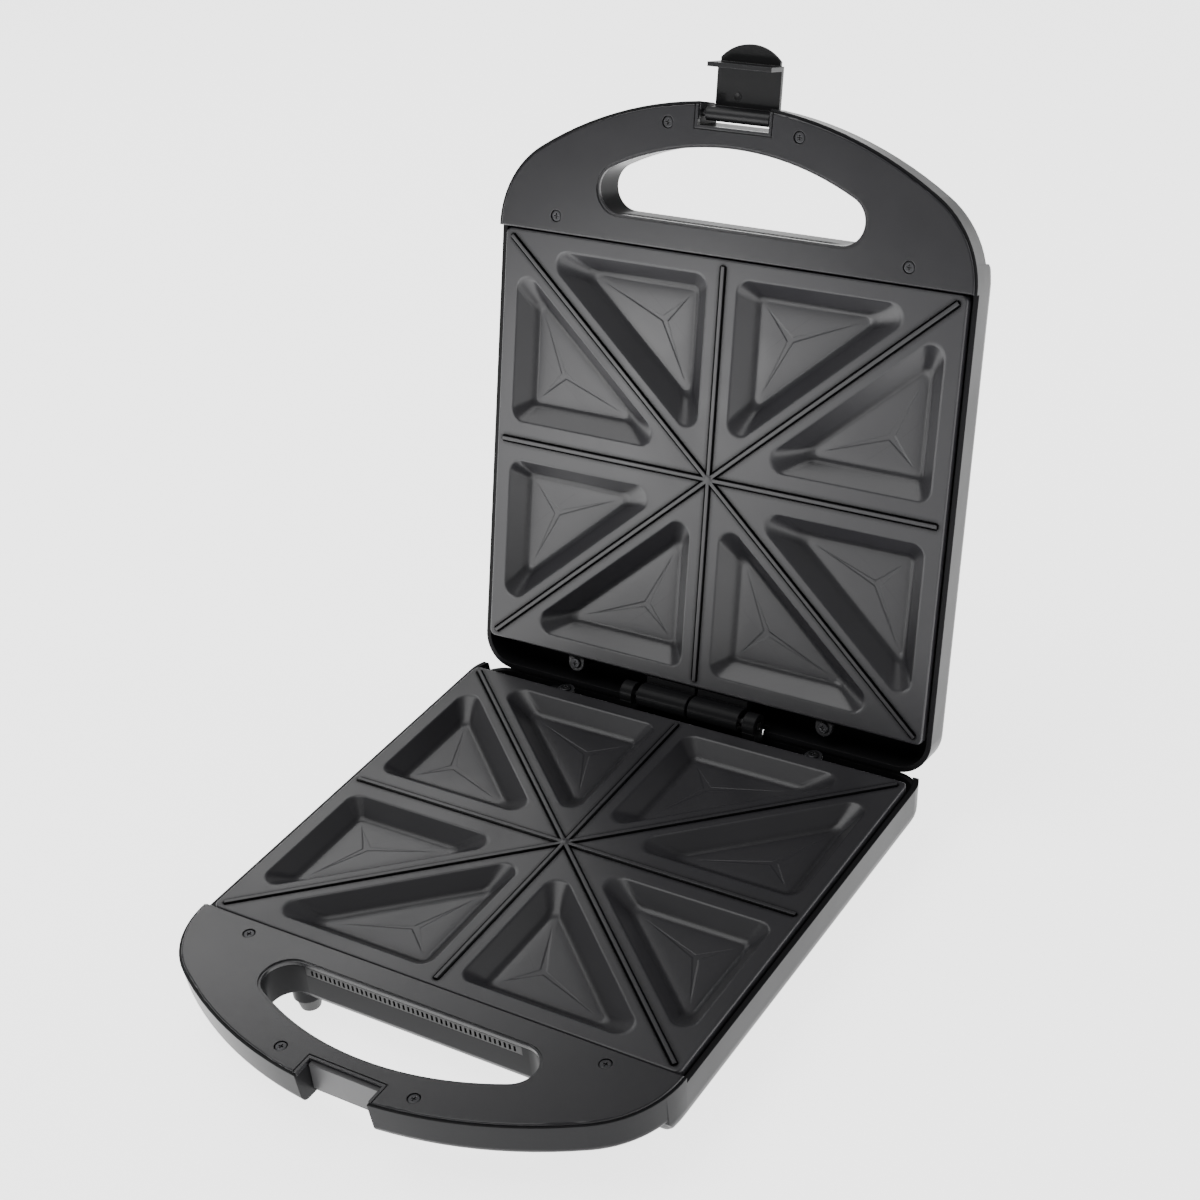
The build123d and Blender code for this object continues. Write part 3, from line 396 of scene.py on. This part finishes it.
def makeRosette(name, setup, side):
    # small eight-pointed boss where the ribs of a plate cross; side is -1 for the base and 1 for the lid
    centreY = hingePlace.y + setup["plateCentreFromHinge"]
    gap = setup["top"] + setup["clear"]
    centreZ = hingePlace.z + side * (gap + setup["height"] / 2)
    bpy.ops.object.select_all(action="DESELECT")
    bpy.ops.mesh.primitive_cylinder_add(vertices=setup["points"] * 2, radius=setup["radius"],
                                        depth=setup["height"], location=(0, centreY, centreZ))
    piece = bpy.context.object
    piece.name = name
    bpy.ops.object.mode_set(mode="EDIT")
    bpy.ops.mesh.select_mode(type="VERT")
    bpy.ops.mesh.select_all(action="DESELECT")
    pickVertices(piece, lambda co, i: (i // 2) % 2 == 1)
    bpy.ops.transform.resize(value=(setup["waist"], setup["waist"], 1))
    bpy.ops.mesh.select_all(action="DESELECT")
    pickVertices(piece, lambda co, i: co.z * -side > 0)
    bpy.ops.mesh.inset(thickness=setup["crownInset"], depth=0.0)
    bpy.ops.transform.translate(value=(0, 0, -side * setup["crownRise"]))
    bpy.ops.object.mode_set(mode="OBJECT")
    if side > 0:
        turnWithLid(piece)
    return finishPiece(piece, setup["bevel"], "lid" if side > 0 else "base", "plate_coating")


makeRosette("lowerPlateRosette", rosetteSetup, -1)
makeRosette("upperPlateRosette", rosetteSetup, 1)
print("plate rosettes made")

ejectorSetup = {"radius": 0.0021, "rim": 0.0005, "proud": 0.00035, "x": -0.0055, "upFromPivot": 0.0085,
                "faceFromParting": 0.0131, "pivotFromParting": 0.0065, "dish": 0.8, "bevel": 0.0001}


def makeEjectorMark(setup):
    # round moulding mark on the inner face of the latch
    reach = (latchPlace - hingePlace).length
    depth = setup["proud"] * 2
    along = math.sqrt(reach ** 2 - setup["pivotFromParting"] ** 2) + setup["upFromPivot"]
    place = (setup["x"], hingePlace.y - along, hingePlace.z + setup["faceFromParting"])
    bpy.ops.object.select_all(action="DESELECT")
    bpy.ops.mesh.primitive_cylinder_add(vertices=40, radius=setup["radius"], depth=depth, location=place)
    piece = bpy.context.object
    piece.name = "latchEjectorMark"
    bpy.ops.object.mode_set(mode="EDIT")
    bpy.ops.mesh.select_mode(type="VERT")
    bpy.ops.mesh.select_all(action="DESELECT")
    pickVertices(piece, lambda co, i: co.z < 0)
    bpy.ops.mesh.inset(thickness=setup["rim"], depth=0.0)
    bpy.ops.transform.translate(value=(0, 0, setup["proud"] * setup["dish"]))
    bpy.ops.object.mode_set(mode="OBJECT")
    turnWithLid(piece)
    return finishPiece(piece, setup["bevel"], "latch_body", "latch_plastic")


makeEjectorMark(ejectorSetup)
print("latch mark made")

bezelSetup = {"inner": 0.0042, "outer": 0.0062, "proud": 0.0009, "wall": 0.0004, "behindLens": 0.0008,
              "lipDrop": 0.0002, "lipWiden": 0.1, "bevel": 0.00012}


def makeLampBezel(name, lens, setup):
    # slim moulded collar round a lamp lens, on the outside of the lid
    low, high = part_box(lens)
    middle = (low + high) / 2
    outward = Matrix.Rotation(-openTurn, 3, "X") @ Vector((0, 0, 1))
    reach = max((v.co - middle).dot(outward) for v in nodes[lens].data.vertices)
    seat = middle + outward * (reach - setup["behindLens"])
    seat.x = middle.x
    bpy.ops.object.select_all(action="DESELECT")
    bpy.ops.mesh.primitive_circle_add(vertices=64, radius=setup["outer"], fill_type="NOTHING",
                                      location=(0, 0, 0))
    piece = bpy.context.object
    piece.name = name
    bpy.ops.object.mode_set(mode="EDIT")
    bpy.ops.mesh.select_mode(type="EDGE")
    bpy.ops.mesh.select_all(action="SELECT")
    shrink = setup["inner"] / setup["outer"]
    lip = (1 + shrink) / 2 + setup["lipWiden"]
    drop = setup["lipDrop"]
    bpy.ops.mesh.extrude_edges_move(TRANSFORM_OT_translate={"value": (0, 0, setup["proud"])})
    bpy.ops.transform.resize(value=(lip, lip, 1))
    bpy.ops.mesh.extrude_edges_move(TRANSFORM_OT_translate={"value": (0, 0, -drop)})
    bpy.ops.transform.resize(value=(shrink / lip, shrink / lip, 1))
    bpy.ops.mesh.extrude_edges_move(TRANSFORM_OT_translate={"value": (0, 0, drop - setup["proud"])})
    bpy.ops.mesh.select_all(action="SELECT")
    bpy.ops.object.mode_set(mode="OBJECT")
    wall = piece.modifiers.new("wall", "SOLIDIFY")
    wall.thickness = setup["wall"]
    wall.offset = 0
    bpy.ops.object.modifier_apply(modifier="wall")
    piece.matrix_world = Matrix.Translation(seat) @ Matrix.Rotation(-openTurn, 4, "X")
    bpy.context.view_layer.update()
    return finishPiece(piece, setup["bevel"], "lid", "shell_plastic")


makeLampBezel("powerLampBezel", "power_lamp_lens", bezelSetup)
makeLampBezel("readyLampBezel", "ready_lamp_lens", bezelSetup)
print("lamp bezels made")

stageSetup = {"floorSize": 12.0, "floorTone": (0.85, 0.85, 0.85), "floorGlow": 2.7, "floorRough": 0.9,
              "floorShine": 0.1, "glowTone": (1.0, 1.0, 1.0),
              "worldTone": (1.0, 1.0, 1.0), "worldStrength": 0.3}


def addFloor(setup):
    bpy.ops.mesh.primitive_plane_add(size=setup["floorSize"], location=(0, 0, 0))
    floor = bpy.context.object
    floor.name = "studioFloor"
    mat = bpy.data.materials.new("studioPaper")
    mat.use_nodes = True
    shader = mat.node_tree.nodes["Principled BSDF"]
    shader.inputs["Base Color"].default_value = (*setup["floorTone"], 1.0)
    shader.inputs["Roughness"].default_value = setup["floorRough"]
    shader.inputs["Emission Color"].default_value = (*setup["glowTone"], 1.0)
    shader.inputs["Emission Strength"].default_value = setup["floorGlow"]
    shader.inputs["Specular IOR Level"].default_value = setup["floorShine"]
    floor.data.materials.append(mat)
    return floor


def addWorld(setup):
    world = bpy.data.worlds.new("studioWorld")
    bpy.context.scene.world = world
    world.use_nodes = True
    back = world.node_tree.nodes["Background"]
    back.inputs["Color"].default_value = (*setup["worldTone"], 1.0)
    back.inputs["Strength"].default_value = setup["worldStrength"]


def addSoftbox(name, place, aim, size, power):
    bpy.ops.object.light_add(type="AREA", location=place)
    lamp = bpy.context.object
    lamp.name = name
    lamp.data.shape = "RECTANGLE"
    lamp.data.size = size[0]
    lamp.data.size_y = size[1]
    lamp.data.energy = power
    toward = Vector(aim) - Vector(place)
    lamp.rotation_mode = "QUATERNION"
    lamp.rotation_quaternion = toward.to_track_quat("-Z", "Y")
    return lamp


# each softbox: where it stands, what it looks at, its two sides and its power in watts
softboxes = {
    "topSoftbox": {"place": (-0.7, -0.2, 1.9), "aim": (0, 0, 0.1), "size": (1.4, 1.4), "power": 18},
    "rearSoftbox": {"place": (-1.25, 0.95, 1.2), "aim": (0, -0.1, 0.05), "size": (0.8, 0.4), "power": 3.6},
    "frontSoftbox": {"place": (-0.8, -1.2, 0.26), "aim": (0, 0.13, 0.25), "size": (0.2, 0.14), "power": 2.6},
    "rightSoftbox": {"place": (1.9, 0.9, 0.7), "aim": (0, 0.1, 0.15), "size": (0.6, 1.2), "power": 12},
}

addFloor(stageSetup)
addWorld(stageSetup)
for name, setup in softboxes.items():
    addSoftbox(name, **setup)
print("stage and light set")

bpy.context.view_layer.update()
